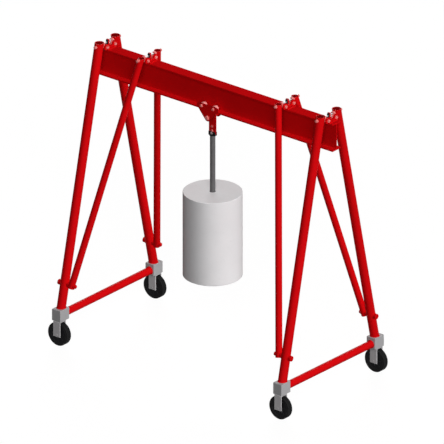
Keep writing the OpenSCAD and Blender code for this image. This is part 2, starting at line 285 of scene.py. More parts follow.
def facing(point, axis):
    """Matrix that puts a part's origin at point and its Z along axis."""
    return Matrix.Translation(Vector(point)) @ Vector(axis).to_track_quat("Z", "Y").to_matrix().to_4x4()


def join(bm, part, place):
    """Move part to its place and add it to bm, with its faces pointing outwards."""
    part.transform(place)
    part.normal_update()
    bmesh.ops.recalc_face_normals(part, faces=part.faces[:])
    mesh = bpy.data.meshes.new("part")
    part.to_mesh(mesh)
    part.free()
    bm.from_mesh(mesh)
    bpy.data.meshes.remove(mesh)


def verts_of(geom):
    """Vertices among an operator's results."""
    return [v for v in geom if isinstance(v, bmesh.types.BMVert)]


def break_edges(part, width):
    """Bevel all of part's edges."""
    bmesh.ops.bevel(part, geom=part.edges[:], offset=width, offset_type="OFFSET", segments=2,
                    profile=0.5, affect="EDGES", material=-1)


def mirrored(outline, between=()):
    """Outline of (radius, height) points above the middle, joined to its mirror image below."""
    return [*outline, *between, *((r, -z) for r, z in reversed(outline))]


def turned(bm, outline, place, steps=40, closed=True):
    """Form turned about Z from (radius, height) points; an open outline starts and ends on the axis."""
    part = bmesh.new()
    points = [part.verts.new((r, 0, z)) for r, z in outline]
    pairs = list(zip(points, points[1:]))
    if closed:
        pairs.append((points[-1], points[0]))
    edges = [part.edges.new(pair) for pair in pairs]
    bmesh.ops.spin(part, geom=points + edges, cent=(0, 0, 0), axis=(0, 0, 1), angle=math.tau,
                   steps=steps, use_merge=True)
    bmesh.ops.remove_doubles(part, verts=part.verts[:], dist=1e-6)
    join(bm, part, place)


def ring(bm, inner, outer, low, high, place, edge=0.0006, steps=40):
    """Turned ring with broken edges."""
    turned(bm, [(inner, low + edge), (inner + edge, low), (outer - edge, low), (outer, low + edge),
                (outer, high - edge), (outer - edge, high), (inner + edge, high), (inner, high - edge)],
           place, steps)


def hexagon(bm, flats, low, high, place, both=False):
    """Hexagon with the turned chamfer of a bolt head, or of a nut on both ends."""
    part = bmesh.new()
    bmesh.ops.create_circle(part, cap_ends=False, radius=flats / math.sqrt(3), segments=6)
    bmesh.ops.subdivide_edges(part, edges=part.edges[:], cuts=3)
    bmesh.ops.translate(part, vec=(0, 0, low), verts=part.verts[:])
    walls = bmesh.ops.extrude_edge_only(part, edges=part.edges[:])["geom"]
    bmesh.ops.translate(part, vec=(0, 0, high - low), verts=verts_of(walls))
    bmesh.ops.holes_fill(part, edges=part.edges[:])
    caps = [f for f in part.faces if len(f.verts) > 4]
    flat = flats * 0.47
    for cap in caps:
        up = cap.calc_center_median().z > (low + high) / 2
        if not (up or both):
            continue
        corners = cap.verts[:]
        bmesh.ops.inset_individual(part, faces=[cap], thickness=flats * 0.02)
        for v in cap.verts:
            v.co.xy = v.co.xy.normalized() * flat
        for v in corners:
            drop = (v.co.xy.length - flat) * math.tan(math.radians(30))
            v.co.z += -drop if up else drop
    join(bm, part, place)


def thread(bm, radius, low, high, pitch, place, steps=24):
    """Threaded end of a bolt with a chamfered tip."""
    turns = max(1, int((high - low) / pitch))
    step = (high - low) / turns
    depth = pitch * 0.5
    outline = [(0, low), (radius, low)]
    for i in range(turns):
        outline.append((radius - depth, low + (i + 0.5) * step))
        outline.append((radius if i < turns - 1 else radius - depth, low + (i + 1) * step))
    outline.append((0, high))
    turned(bm, outline, place, steps, closed=False)


def rod(bm, radius, low, high, place, edge=0.0006, steps=32):
    """Round bar with broken edges."""
    turned(bm, [(0, low), (radius - edge, low), (radius, low + edge), (radius, high - edge),
                (radius - edge, high), (0, high)], place, steps, closed=False)


def wrapped_ring(bm, inner, outer, thick, place, tube, steps=40):
    """Washer with a flat outer face and a back that follows a round tube: tube is (point, axis, radius)."""
    part = bmesh.new()
    ring(part, inner, outer, 0, 1, Matrix.Identity(4), 0.0007, steps)
    point, axis, radius = Vector(tube[0]), Vector(tube[1]).normalized(), tube[2]
    out = place.to_3x3() @ Vector((0, 0, 1))

    def depth(x, y):
        base = place @ Vector((x, y, 0)) - point
        across = base - axis * base.dot(axis)
        way = out - axis * out.dot(axis)
        a, b, c = way.dot(way), 2 * way.dot(across), across.dot(across) - radius * radius
        return (-b + math.sqrt(max(0, b * b - 4 * a * c))) / (2 * a)

    turns = [i * math.tau / 24 for i in range(24)]
    highest = max(depth(outer * math.cos(t), outer * math.sin(t)) for t in turns)
    flat = max(highest, depth(0, 0)) + thick
    for v in part.verts:
        x, y, z = v.co
        back = depth(x, y) - 0.0004
        v.co.z = flat - (1 - z) if z > 0.5 else back + z
    join(bm, part, place)
    return flat


def bead_loop(bm, path, radius, waves, steps=120):
    """Rippled weld bead along a closed path: path(angle) gives a point and its two cross directions."""
    part = bmesh.new()
    bmesh.ops.create_circle(part, cap_ends=False, radius=radius, segments=8,
                            matrix=Matrix.Translation((1, 0, 0)) @ Matrix.Rotation(math.pi / 2, 4, "X"))
    bmesh.ops.spin(part, geom=part.verts[:] + part.edges[:], cent=(0, 0, 0), axis=(0, 0, 1), angle=math.tau,
                   steps=steps, use_merge=True)
    bmesh.ops.remove_doubles(part, verts=part.verts[:], dist=1e-6)
    for v in part.verts:
        angle = math.atan2(v.co.y, v.co.x)
        out, up = v.co.xy.length - 1, v.co.z
        swell = 0.86 + 0.14 * abs(math.sin(angle * waves / 2))
        point, side, rise = path(angle)
        v.co = point + (side * out + rise * up) * swell
    join(bm, part, Matrix.Identity(4))


def bead_run(bm, start, end, radius, step=0.004):
    """Rippled straight weld bead from start to end."""
    part = bmesh.new()
    way = Vector(end) - Vector(start)
    count = max(2, int(way.length / step))
    bmesh.ops.create_circle(part, cap_ends=True, radius=radius * 0.7, segments=10)
    face = part.faces[:]
    for i in range(count):
        grown = bmesh.ops.extrude_face_region(part, geom=face)["geom"]
        verts = verts_of(grown)
        if i:
            bmesh.ops.delete(part, geom=face, context="FACES_ONLY")
        face = [f for f in grown if isinstance(f, bmesh.types.BMFace)]
        bmesh.ops.translate(part, vec=(0, 0, way.length / count), verts=verts)
        size = radius * (0.7 if i == count - 1 else 1.0 if i % 2 else 0.88)
        for v in verts:
            v.co.xy = v.co.xy.normalized() * size
    join(bm, part, facing(start, way))


def bolt_head(bm, place, flats, height, washer, thick=0.002):
    """Washer and hexagon head on a surface."""
    ring(bm, flats * 0.3, washer / 2, 0, thick, place)
    hexagon(bm, flats, thick, thick + height, place)


def nut_end(bm, place, flats, height, bolt, washer, thick=0.002, past=0.003):
    """Washer, nut and the bolt's threaded end on a surface."""
    ring(bm, bolt / 2, washer / 2, 0, thick, place)
    hexagon(bm, flats, thick, thick + height, place, both=True)
    thread(bm, bolt / 2, thick + height * 0.5, thick + height + past, sizes("fasteners").pitch, place)


def piece(bm, name, finish, body, sharp=32):
    """Make bm a piece of the crane with its finish, riding on a body."""
    mesh = bpy.data.meshes.new(name)
    bm.to_mesh(mesh)
    bm.free()
    mesh.polygons.foreach_set("use_smooth", [True] * len(mesh.polygons))
    mesh.set_sharp_from_angle(angle=math.radians(sharp))
    mesh.materials.append(bpy.data.materials[finish])
    obj = bpy.data.objects.new(name, mesh)
    bpy.context.scene.collection.objects.link(obj)
    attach(obj, body)
    return obj


def tube_line(kind, sx, sy, height):
    """Point on the axis of a leg or brace at a height, the axis, and the tube's radius."""
    s = sizes("frame")
    lean = (s.leg_foot - s.leg_head) / (BEAM_TOP - BLOCK_TOP)
    y = s.leg_foot - lean * (height - BLOCK_TOP)
    if kind == "leg":
        axis = Vector((0, -sy * lean, 1)).normalized()
        return Vector((sx * FRAME_X, sy * y, height)), axis, s.leg_diameter / 2
    rake = (s.brace_head - s.brace_foot) / (BEAM_TOP - s.pin_height)
    x = s.brace_foot + rake * (height - s.pin_height)
    axis = Vector((sx * rake, -sy * lean, 1)).normalized()
    return Vector((sx * x, sy * y, height)), axis, s.brace_diameter / 2


# Finishes. Every one reads Object coordinates.

def add(tree, kind, links=None, **settings):
    """New shader node: settings are its options, links its sockets' values or what feeds them."""
    node = tree.nodes.new(kind)
    for key, value in settings.items():
        setattr(node, key, value)
    for key, value in (links or {}).items():
        if isinstance(value, bpy.types.NodeSocket):
            tree.links.new(value, node.inputs[key])
        else:
            node.inputs[key].default_value = value
    return node


def blank(name):
    """New material's node tree, its shader and its Object coordinates."""
    material = bpy.data.materials.new(name)
    material.use_nodes = True
    tree = material.node_tree
    shader = tree.nodes["Principled BSDF"]
    place = add(tree, "ShaderNodeTexCoord").outputs["Object"]
    return tree, shader, place


def noise(tree, place, scale, detail=4.0, rough=0.55):
    """Noise from 0 to 1 at a scale in cycles per metre."""
    return add(tree, "ShaderNodeTexNoise", {"Vector": place, "Scale": scale, "Detail": detail,
                                            "Roughness": rough}).outputs["Fac"]


def level(tree, value, low, high, to_low=0.0, to_high=1.0):
    """Value mapped from one range to another and held inside it."""
    return add(tree, "ShaderNodeMapRange", {"Value": value, "From Min": low, "From Max": high,
                                            "To Min": to_low, "To Max": to_high}).outputs["Result"]


def blend(tree, factor, first, second):
    """Colour between two colours."""
    node = add(tree, "ShaderNodeMix", data_type="RGBA")
    for key, value in ((0, factor), (6, first), (7, second)):
        if isinstance(value, bpy.types.NodeSocket):
            tree.links.new(value, node.inputs[key])
        else:
            node.inputs[key].default_value = value if key == 0 else (*value, 1)
    return node.outputs[2]


def calc(tree, operation, first, second=0.0):
    """Result of a math operation on one or two values."""
    return add(tree, "ShaderNodeMath", {0: first, 1: second}, operation=operation).outputs[0]


def times(tree, first, second):
    """Product of two values."""
    return calc(tree, "MULTIPLY", first, second)


def surface(tree, shader, tone, rough, gloss, **relief):
    """Feed a finish's tone, roughness, gloss and bump to its shader."""
    bump = add(tree, "ShaderNodeBump", relief).outputs["Normal"]
    for key, socket in (("Base Color", tone), ("Roughness", rough), ("Normal", bump)):
        tree.links.new(socket, shader.inputs[key])
    shader.inputs["Specular IOR Level"].default_value = gloss


def shade(colour, factor):
    """Colour made lighter or darker."""
    return tuple(min(1.0, c * factor) for c in colour)


def edge_mask(tree, radius):
    """Rounded edge normal, and how strongly a point lies on an outer edge."""
    bevel = add(tree, "ShaderNodeBevel", {"Radius": radius}, samples=6).outputs["Normal"]
    true = add(tree, "ShaderNodeNewGeometry").outputs["True Normal"]
    along = add(tree, "ShaderNodeVectorMath", {0: bevel, 1: true}, operation="DOT_PRODUCT").outputs["Value"]
    return bevel, level(tree, along, 0.985, 0.90)


def enamel(name, colour, mark_tone, rough, wear=0.5, dust=0.05, gloss=0.02, border=0.0022, patchy=0.52):
    """Sprayed enamel: clouds in its tone, orange peel, edges in a given edge tone (rubbed paint where that
    tone is light, painted shade where it is near black) and a little dust on top.
    """
    tree, shader, place = blank(name)
    clouds = noise(tree, place, 2.6, 5.0)
    mottle = noise(tree, place, 38.0, 4.0)
    tone = blend(tree, level(tree, clouds, 0.3, 0.7), shade(colour, 0.93), shade(colour, 1.06))
    tone = blend(tree, level(tree, mottle, 0.35, 0.75, 0.0, 0.25), tone, shade(colour, 0.86))
    bevel, edge = edge_mask(tree, border)
    patches = level(tree, noise(tree, place, 24.0, 6.0, 0.7), patchy, patchy + 0.14, 0.0, wear)
    # Edge mark: rubbed paint for a light edge tone, painted shade for a near-black one
    edge_mark = times(tree, edge, patches)
    tone = blend(tree, edge_mark, tone, mark_tone)
    normal = add(tree, "ShaderNodeNewGeometry").outputs["Normal"]
    up = add(tree, "ShaderNodeSeparateXYZ", {"Vector": normal})
    lie = times(tree, level(tree, up.outputs["Z"], 0.7, 1.0), level(tree, mottle, 0.3, 0.8, 0.0, dust))
    tone = blend(tree, lie, tone, (0.42, 0.38, 0.34))
    matt = calc(tree, "ADD", level(tree, clouds, 0.25, 0.75, rough - 0.05, rough + 0.08),
                times(tree, calc(tree, "ADD", edge_mark, lie), 0.35))
    peel = calc(tree, "SUBTRACT", noise(tree, place, 420.0, 2.0), times(tree, edge_mark, 2.0))
    surface(tree, shader, tone, matt, gloss, Strength=0.05, Distance=0.0006, Height=peel, Normal=bevel)


def plated(name, colour, rough, metal=1.0, lines=(0.0, 0.0, 0.0), gloss=0.5):
    """Plated or drawn steel: cloudy plating, fine scratches and turning lines along an axis."""
    tree, shader, place = blank(name)
    clouds = noise(tree, place, 22.0, 5.0)
    drawn = add(tree, "ShaderNodeMapping", {"Vector": place, "Scale": (1.0, 1.0, 14.0)}).outputs[0]
    scratch = noise(tree, drawn, 90.0, 3.0)
    tone = blend(tree, level(tree, clouds, 0.3, 0.7), shade(colour, 0.88), shade(colour, 1.05))
    tone = blend(tree, level(tree, scratch, 0.62, 0.8, 0.0, 0.35), tone, shade(colour, 0.6))
    matt = level(tree, scratch, 0.2, 0.8, rough - 0.06, rough + 0.12)
    height = scratch
    if any(lines):
        along = add(tree, "ShaderNodeVectorMath", {0: place, 1: lines}, operation="DOT_PRODUCT")
        wave = calc(tree, "SINE", times(tree, along.outputs["Value"], math.tau))
        height = calc(tree, "ADD", wave, times(tree, scratch, 0.4))
    surface(tree, shader, tone, matt, gloss, Strength=0.12, Distance=0.0006, Height=height)
    shader.inputs["Metallic"].default_value = metal


def rubbed(name, paint, mark_tone):
    """Painted fastener with its paint rubbed through in patches and on its edges."""
    tree, shader, place = blank(name)
    patches = noise(tree, place, 130.0, 5.0, 0.6)
    fine = noise(tree, place, 600.0, 3.0)
    bevel, edge = edge_mask(tree, 0.0012)
    through = calc(tree, "MAXIMUM", level(tree, patches, 0.38, 0.54, 0.0, 0.80), times(tree, edge, 0.5))
    tone = blend(tree, level(tree, fine, 0.3, 0.7), shade(mark_tone, 0.9), shade(mark_tone, 1.06))
    tone = blend(tree, through, shade(paint, 0.95), tone)
    matt = level(tree, through, 0.0, 1.0, 0.52, 0.36)
    height = calc(tree, "SUBTRACT", times(tree, fine, 0.3), times(tree, through, 0.7))
    surface(tree, shader, tone, matt, 0.12, Strength=0.15, Distance=0.0004, Height=height, Normal=bevel)


def rubber(name, colour):
    """Moulded rubber: matt, clouded and scuffed."""
    tree, shader, place = blank(name)
    clouds = noise(tree, place, 16.0, 6.0, 0.65)
    grain = noise(tree, place, 520.0, 2.0)
    tone = blend(tree, level(tree, clouds, 0.35, 0.7), shade(colour, 0.8), shade(colour, 1.5))
    scuffs = level(tree, noise(tree, place, 70.0, 5.0, 0.7), 0.58, 0.75, 0.0, 0.10)
    tone = blend(tree, scuffs, tone, (0.13, 0.12, 0.11))
    matt = level(tree, clouds, 0.3, 0.7, 0.62, 0.86)
    surface(tree, shader, tone, matt, 0.08, Strength=0.25, Distance=0.0008, Height=grain)


def cast_stone(name, colour):
    """Smooth cast concrete: pale, faintly clouded, with fine grit and a few small pores."""
    tree, shader, place = blank(name)
    clouds = noise(tree, place, 3.4, 6.0, 0.6)
    grit = noise(tree, place, 260.0, 3.0)
    cell = add(tree, "ShaderNodeTexVoronoi", {"Vector": place, "Scale": 55.0}).outputs["Distance"]
    sparse = level(tree, noise(tree, place, 21.0, 2.0), 0.56, 0.64)
    pore = times(tree, level(tree, cell, 0.16, 0.08), sparse)
    tone = blend(tree, level(tree, clouds, 0.3, 0.7), shade(colour, 0.955), shade(colour, 1.03))
    tone = blend(tree, level(tree, grit, 0.45, 0.8, 0.0, 0.18), tone, shade(colour, 0.82))
    tone = blend(tree, times(tree, pore, 0.45), tone, shade(colour, 0.45))
    matt = level(tree, clouds, 0.3, 0.7, 0.78, 0.92)
    height = calc(tree, "SUBTRACT", times(tree, grit, 0.35), times(tree, pore, 1.6))
    surface(tree, shader, tone, matt, 0.15, Strength=0.3, Distance=0.0012, Height=height)


# Finish of each CAD node, by the start of its name
WEARS = (
    ("beam", "beam_enamel"), ("leg_", "red_enamel"), ("brace_", "red_enamel"), ("rail_", "red_enamel"),
    ("saddle_", "red_enamel"), ("trolley_plate_", "plate_enamel"), ("hanger_strap", "plate_enamel"),
    ("corner_block_", "block_enamel"), ("fork_", "fork_enamel"), ("axle_", "fork_enamel"),
    ("spindle_", "ground_spindle"), ("wheel_", "tyre_rubber"), ("roller_", "turned_roller"),
    ("cross_bolt", "rubbed_bolt"), ("shackle", "black_enamel"), ("load_rod", "drawn_rod"),
    ("load", "load_stone"),
)


class CRANE_OT_finishes(bpy.types.Operator):
    """Make the finishes and put them on the frame's own solids"""

    bl_idname = "crane.finishes"
    bl_label = "Finishes"

    def execute(self, context):
        f = sizes("finishes")
        edge_mark = (0.33, 0.05, 0.045)
        enamel("red_enamel", f.red, edge_mark, rough=0.40, dust=0.003, gloss=0.012)
        enamel("beam_enamel", f.red, edge_mark, rough=0.46, dust=0.003, gloss=0.0)
        # The plates' and strap's edges go nearly black here: painted shade along their edges
        enamel("plate_enamel", f.red, (0.035, 0.002, 0.004), rough=0.46, wear=0.9, dust=0.003, gloss=0.004,
               border=0.007, patchy=0.30)
        enamel("block_enamel", f.block, (0.52, 0.51, 0.50), rough=0.46, wear=0.4, dust=0.08)
        enamel("fork_enamel", f.fork, (0.60, 0.59, 0.58), rough=0.42, wear=0.4, dust=0.08)
        enamel("black_enamel", f.black, (0.10, 0.10, 0.10), rough=0.40, dust=0.06)
        enamel("core_enamel", shade(f.black, 1.6), (0.12, 0.12, 0.12), rough=0.48, wear=0.4, dust=0.06)
        # Dark grey of the lug plates: painted shade on the lugs' faces
        enamel("lug_shade_enamel", shade(f.black, 3.2), (0.16, 0.16, 0.16), rough=0.48, wear=0.4, dust=0.04)
        # Dark red of the tube plugs: painted shade for the unlit inside of the open tubes
        enamel("bore_shade_enamel", shade(f.red, 0.34), (0.10, 0.006, 0.006), rough=0.50, wear=0.4, dust=0.003,
               gloss=0.0)
        rubbed("rubbed_bolt", f.red, f.steel)
        # A darker copy of the rubbed bolt finish, used for the strap bolts: painted shade
        rubbed("shaded_bolt", f.red, shade(f.steel, 0.62))
        plated("grey_bolt", f.grey_bolt, rough=0.50, metal=0.1, gloss=0.1)
        plated("ground_spindle", f.bright, rough=0.40, lines=(0.0, 400.0, 0.0))
        plated("turned_roller", f.roller, rough=0.42, metal=0.25, lines=(0.0, 300.0, 0.0), gloss=0.2)
        plated("drawn_rod", f.rod, rough=0.50, metal=0.06, lines=(0.0, 0.0, 180.0), gloss=0.08)
        rubber("tyre_rubber", f.tyre)
        cast_stone("load_stone", f.load)
        for name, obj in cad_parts.items():
            finish = next(bpy.data.materials[m] for start, m in WEARS if name.startswith(start))
            if not obj.material_slots:
                obj.data.materials.append(finish)
            for place in obj.material_slots:
                place.material = finish
        return {"FINISHED"}


class CRANE_OT_saddle_bolts(bpy.types.Operator):
    """Hexagon bolts, sleeves and nuts on the ears of the four saddles"""

    bl_idname = "crane.saddle_bolts"
    bl_label = "Saddle bolts"

    def execute(self, context):
        s, t = sizes("fasteners"), sizes("frame")
        for station in STATIONS:
            x = middle("saddle_" + station).x
            tube = t.leg_diameter if station.endswith("leg") else t.brace_diameter
            face = tube / 2 + EAR_PAST
            back = face - s.ear_plate
            nut = back - s.ear_sleeve
            bm = bmesh.new()
            for y in (-EAR_SPREAD, EAR_SPREAD):
                at = Vector((x, y, BEAM_TOP + EAR_RISE))
                head, sleeve, end = (at + Vector((out, 0, 0)) for out in (face, back, nut))
                bolt_head(bm, facing(head, (1, 0, 0)), s.ear_flats, height=0.009, washer=0.027)
                ring(bm, s.ear_bolt / 2, 0.012, 0, s.ear_sleeve, facing(sleeve, (-1, 0, 0)))
                nut_end(bm, facing(end, (-1, 0, 0)), s.ear_flats, height=0.010, bolt=s.ear_bolt,
                        washer=0.030, thick=0.003)
                rod(bm, s.ear_bolt / 2, nut - 0.004, face + 0.004, facing(at, (1, 0, 0)))
            piece(bm, "saddle_bolts_" + station, "rubbed_bolt", "frame")
        return {"FINISHED"}


class CRANE_OT_spindle_nuts(bpy.types.Operator):
    """Curved washers and nuts that hold the tubes on the cross spindles"""

    bl_idname = "crane.spindle_nuts"
    bl_label = "Spindle nuts"

    def execute(self, context):
        s = sizes("fasteners")
        for station in STATIONS:
            at = middle("spindle_" + station)
            bore = half("spindle_" + station).z + BORE_PLAY
            side, kind = station.split("_")
            sx = -1 if side == "left" else 1
            bm = bmesh.new()
            for sy in (-1, 1):
                tube = tube_line(kind, sx, sy, at.z)
                for out, flats, washer, thick in ((1, s.spindle_flats, s.spindle_washer, 0.011),
                                                  (-1, s.inner_flats, s.inner_flats, 0.016)):
                    place = facing((at.x, tube[0].y, at.z), (0, sy * out, 0))
                    flat = wrapped_ring(bm, bore, washer / 2, 0.002, place, tube)
                    hexagon(bm, flats, flat, flat + thick, place, both=True)
                    if out == 1:
                        thread(bm, bore, flat + 0.005, flat + 0.015, s.pitch, place)
            piece(bm, "spindle_nuts_" + station, "rubbed_bolt", "frame")
        return {"FINISHED"}


class CRANE_OT_tube_caps(bpy.types.Operator):
    """Dark red plugs sunk into the open tops of the legs and braces; their dark red is painted shade for the
    unlit inside of the open tubes
    """

    bl_idname = "crane.tube_caps"
    bl_label = "Tube caps"

    def execute(self, context):
        s = sizes("frame")
        for kind, bore in (("leg", s.leg_diameter / 2 - LEG_WALL),
                           ("brace", s.brace_diameter / 2 - BRACE_WALL)):
            for name, sx, sy in CORNERS:
                point, axis, _ = tube_line(kind, sx, sy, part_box(f"{kind}_{name}")[1].z)
                top = point - axis * PLUG_SUNK
                outline = [(0, -0.0012), (bore * 0.5, -0.0013), (bore * 0.8, -0.0018), (bore * 0.88, -0.0026),
                           (bore * 0.94, -0.0026), (bore - 0.0009, -0.0015), (bore - 0.0002, -0.0022),
                           (bore - 0.0002, -0.016), (bore * 0.85, -0.018), (0, -0.018)]
                bm = bmesh.new()
                turned(bm, outline, facing(top, axis), 48, closed=False)
                # The tops are cut level, so the plug is sheared along the tube to lie level too.
                for v in bm.verts:
                    across = v.co - top
                    across -= axis * across.dot(axis)
                    v.co -= axis * (across.z / axis.z)
                piece(bm, f"{kind}_cap_{name}", "bore_shade_enamel", "frame")
        return {"FINISHED"}


class CRANE_OT_lug_plates(bpy.types.Operator):
    """Dark plates and eye rings on both faces of the saddles' lugs, painted shade on the lugs' faces"""

    bl_idname = "crane.lug_plates"
    bl_label = "Lug shade plates"

    def execute(self, context):
        for station in STATIONS:
            x = middle("saddle_" + station).x
            bm = bmesh.new()
            for sy in (-1, 1):
                part = bmesh.new()
                face = part.faces.new([part.verts.new((*corner, 0)) for corner in LUG_PLATE])
                grown = bmesh.ops.extrude_face_region(part, geom=[face])["geom"]
                bmesh.ops.translate(part, vec=(0, 0, LUG_PLATE_THICK), verts=verts_of(grown))
                break_edges(part, 0.0006)
                place = Matrix.Translation((x, sy * LUG_FACE, BEAM_TOP))
                place = place @ Matrix.Rotation(math.pi / 2, 4, "X")
                if sy > 0:
                    place = place @ Matrix.Translation((0, 0, -LUG_PLATE_THICK))
                join(bm, part, place)
                eye = facing((x, sy * LUG_FACE, BEAM_TOP + LUG_EYE), (0, sy, 0))
                ring(bm, inner=0.0082, outer=0.0115, low=0.0020, high=0.0048, place=eye)
            piece(bm, "lug_plates_" + station, "lug_shade_enamel", "frame")
        return {"FINISHED"}


class CRANE_OT_brace_nuts(bpy.types.Operator):
    """Painted washers and nuts on the brace pins"""

    bl_idname = "crane.brace_nuts"
    bl_label = "Brace pin nuts"

    def execute(self, context):
        s, t = sizes("fasteners"), sizes("frame")
        for name, sx, sy in CORNERS:
            tube = tube_line("brace", sx, sy, t.pin_height)
            place = facing(tube[0], (-sx, 0, 0))
            bm = bmesh.new()
            flat = wrapped_ring(bm, inner=0.0101, outer=0.019, thick=0.001, place=place, tube=tube)
            hexagon(bm, PIN_NUT, flat, flat + 0.010, place, both=True)
            thread(bm, PIN_RADIUS, flat + 0.004, flat + 0.014, s.pitch, place)
            piece(bm, "brace_nut_" + name, "red_enamel", "frame")
        return {"FINISHED"}


class CRANE_OT_welds(bpy.types.Operator):
    """Weld beads at the leg feet, rail ends, pin bosses and saddle plates"""

    bl_idname = "crane.welds"
    bl_label = "Welds"

    def execute(self, context):
        s = sizes("frame")
        for name, sx, sy in CORNERS:
            bm = bmesh.new()
            foot, axis, radius = tube_line("leg", sx, sy, BLOCK_TOP)
            stretch = 1 / axis.z

            def round_foot(angle):
                side = Vector((math.cos(angle), math.sin(angle), 0))
                point = foot + Vector((radius * side.x, radius * stretch * side.y, 0))
                return point, side, Vector((0, 0, 1))

            bead_loop(bm, round_foot, s.bead * 0.8, 60)
            piece(bm, "leg_weld_" + name, "red_enamel", "frame", 60)
            bm = bmesh.new()
            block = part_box("corner_block_" + name)
            inner = block[0].y if sy > 0 else block[1].y
            rail = middle("rail_left" if sx < 0 else "rail_right")

            def round_rail(angle):
                side = Vector((math.cos(angle), 0, math.sin(angle)))
                point = Vector((rail.x, inner, rail.z)) + side * s.rail_diameter / 2
                return point, side, Vector((0, -sy, 0))

            bead_loop(bm, round_rail, s.bead, 52)
            piece(bm, "rail_weld_" + name, "red_enamel", "frame", 60)
            bm = bmesh.new()
            at, axis, radius = tube_line("leg", sx, sy, s.pin_height)
            cross = axis.cross(Vector((1, 0, 0)))

            def round_boss(angle):
                side = cross * math.cos(angle) + axis * math.sin(angle)
                wide = s.boss_diameter / 2 * math.cos(angle)
                reach = math.sqrt(radius * radius - wide * wide)
                point = at + Vector((sx * reach, 0, 0)) + side * s.boss_diameter / 2
                return point, side, Vector((sx, 0, 0))

            bead_loop(bm, round_boss, s.bead * 0.9, 40)
            piece(bm, "boss_weld_" + name, "red_enamel", "frame", 60)
        for station in STATIONS:
            low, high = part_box("saddle_" + station)
            x, reach = (low.x + high.x) / 2, (high.x - low.x) / 2
            bm = bmesh.new()
            for sx in (-1, 1):
                bead_run(bm, (x + sx * reach, low.y + SADDLE_WELD_INSET, BEAM_TOP),
                         (x + sx * reach, high.y - SADDLE_WELD_INSET, BEAM_TOP), s.bead)
            left, right, side, rise = LUG_WELD
            for sy in (-1, 1):
                bead_run(bm, (x + left, sy * side, BEAM_TOP + rise), (x + right, sy * side, BEAM_TOP + rise),
                         s.bead * 0.8)
            piece(bm, "saddle_weld_" + station, "red_enamel", "frame", 60)
        return {"FINISHED"}


class CRANE_OT_wheels(bpy.types.Operator):
    """Grooved tyres and ribbed wheel cores in place of the plain wheels"""

    bl_idname = "crane.wheels"
    bl_label = "Caster wheels"

    def execute(self, context):
        s = sizes("wheels")
        for name in CORNER_NAMES:
            at, size = middle("wheel_" + name), half("wheel_" + name)
            place = facing(at, (0, 1, 0))
            radius, wide = size.z, size.y
            turn = s.shoulder
            bm = bmesh.new()
            side = [(s.rim_radius - 0.003, wide - 0.004), (s.rim_radius + 0.002, wide - 0.0012),
                    (s.rim_radius + 0.006, wide - 0.0012), (s.rim_radius + 0.0075, wide),
                    (radius - turn, wide)]
            for i in range(1, 7):
                a = i * math.pi / 12
                side.append((radius - turn + turn * math.sin(a), wide - turn + turn * math.cos(a)))
            cut, deep = s.groove_width / 2, s.groove_depth
            y = SIDE_GROOVE
            side += [(radius, y + cut), (radius - deep * 0.8, y + cut * 0.7), (radius - deep, y),
                     (radius - deep * 0.8, y - cut * 0.7), (radius, y - cut),
                     (radius, cut), (radius - deep * 0.8, cut * 0.7)]
            turned(bm, mirrored(side, [(radius - deep, 0)]), place, 112)
            tyre = piece(bm, "tyre_" + name, "tyre_rubber", "wheel_" + name, 40)
            bm = bmesh.new()
            rim, hub, web = s.rim_radius, s.hub_radius, wide - s.dish
            one = [(0.0102, wide - 0.0015), (0.0125, wide), (0.0125, wide - 0.001), (0.0215, wide - 0.001),
                   (0.0215, wide), (hub - 0.0012, wide), (hub, wide - 0.0012), (hub + 0.0015, web + 0.0012),
                   (hub + 0.003, web), (rim - 0.009, web), (rim - 0.0075, web + 0.0012),
                   (rim - 0.006, wide - 0.003), (rim - 0.0048, wide - 0.0018), (rim, wide - 0.0018)]
            turned(bm, mirrored(one), place, 72)
            for end in (-1, 1):
                for i in range(s.ribs):
                    part = bmesh.new()
                    bmesh.ops.create_cube(part, size=1.0)
                    bmesh.ops.scale(part, vec=(rim - hub - 0.006, 0.007, s.dish), verts=part.verts[:])
                    break_edges(part, 0.0012)
                    bmesh.ops.translate(part, vec=((rim + hub) / 2, 0, end * (web + s.dish / 2 - 0.0018)),
                                        verts=part.verts[:])
                    join(bm, part, place @ Matrix.Rotation(i * math.tau / s.ribs, 4, "Z"))
            core = piece(bm, "wheel_core_" + name, "core_enamel", "wheel_" + name)
            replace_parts(tyre, "wheel_" + name)
            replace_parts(core, "wheel_" + name)
        return {"FINISHED"}


